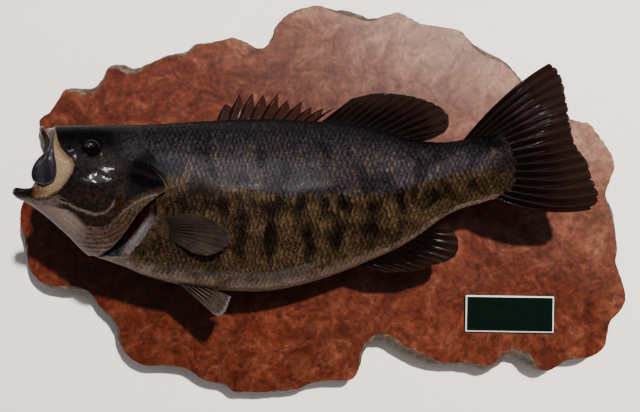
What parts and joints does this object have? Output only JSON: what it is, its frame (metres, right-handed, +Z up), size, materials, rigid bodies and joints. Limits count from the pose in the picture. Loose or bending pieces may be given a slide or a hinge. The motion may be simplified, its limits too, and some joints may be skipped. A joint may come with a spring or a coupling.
{
  "type": "smallmouth bass skin mount",
  "caption": "Skin-mounted bass with open mouth and spread fins, its head bent towards the room, on a burl wood slab with a natural edge and a small blank plate.",
  "frame": {"origin": "middle of the board's back, on the wall", "axes": "+X from the fish's head to its tail, +Y into the wall, +Z up"},
  "size_m": [0.572, 0.1414, 0.3657],
  "materials": {
    "burl": "satin lacquer over red-brown burl",
    "plate": "dark, bevelled, pale at the bevel",
    "steel": "plain strip",
    "skin": "olive and dark brown under a glossy clear coat",
    "pale_skin": "pale grey-pink under a glossy clear coat",
    "lip_bone": "purple-grey under a glossy clear coat",
    "mouth_lining": "cream to orange-brown, glossy",
    "fin_skin": "near-black brown, ribbed with rays, glossy",
    "eye_glass": "glossy artificial eye, dark red-brown iris and black pupil"
  },
  "bodies": {
    "root": {"board": "burl", "name_plate": "plate", "hanger": "steel", "head": "skin", "upper_lip": "lip_bone", "maxilla_left": "lip_bone", "maxilla_right": "lip_bone", "lower_jaw": "skin", "throat": "pale_skin", "tongue": "mouth_lining", "gill_cover_left": "skin", "gill_cover_right": "skin", "eye_left": "eye_glass", "eye_right": "eye_glass", "trunk": "skin", "tail_stem": "skin", "dorsal_fin_spiny": "fin_skin", "dorsal_fin_soft": "fin_skin", "anal_fin": "fin_skin", "tail_fin": "fin_skin", "pectoral_fin_left": "fin_skin", "pectoral_fin_right": "fin_skin", "pelvic_fin_left": "fin_skin", "pelvic_fin_right": "fin_skin"}
  },
  "joints": []
}
